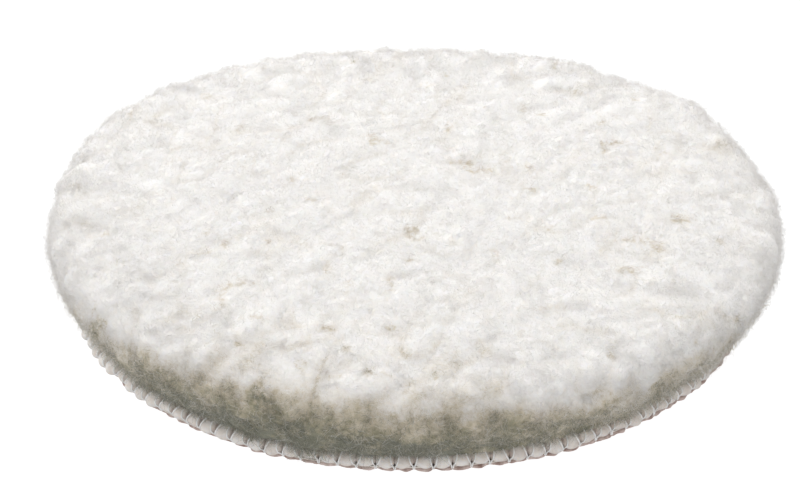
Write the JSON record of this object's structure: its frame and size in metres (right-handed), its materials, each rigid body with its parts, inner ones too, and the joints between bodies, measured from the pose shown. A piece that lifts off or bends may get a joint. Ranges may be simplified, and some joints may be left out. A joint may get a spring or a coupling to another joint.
{
  "type": "wool polishing pad",
  "caption": "Round lambskin polishing pad with tall wool, a whip-stitched edge and a flat hook-and-loop back.",
  "frame": {"origin": "centre of the loop face on the underside", "axes": "+Z out of the wool along the pad's axis of turning, +X and +Y in the plane of the loop face"},
  "size_m": [0.16, 0.16, 0.023],
  "materials": {
    "wool": "soft, matte",
    "hide": "matte, fuzzy",
    "glue": "matte",
    "knit": "matte",
    "loops": "brushed",
    "thread": "glossy, clear"
  },
  "bodies": {
    "root": {"loop_pile": "loops", "backing_fabric": "knit", "bonding_film": "glue", "hide_disc": "hide", "crown_wool": "wool", "edge_wool": "wool", "edge_thread": "thread"}
  },
  "joints": []
}
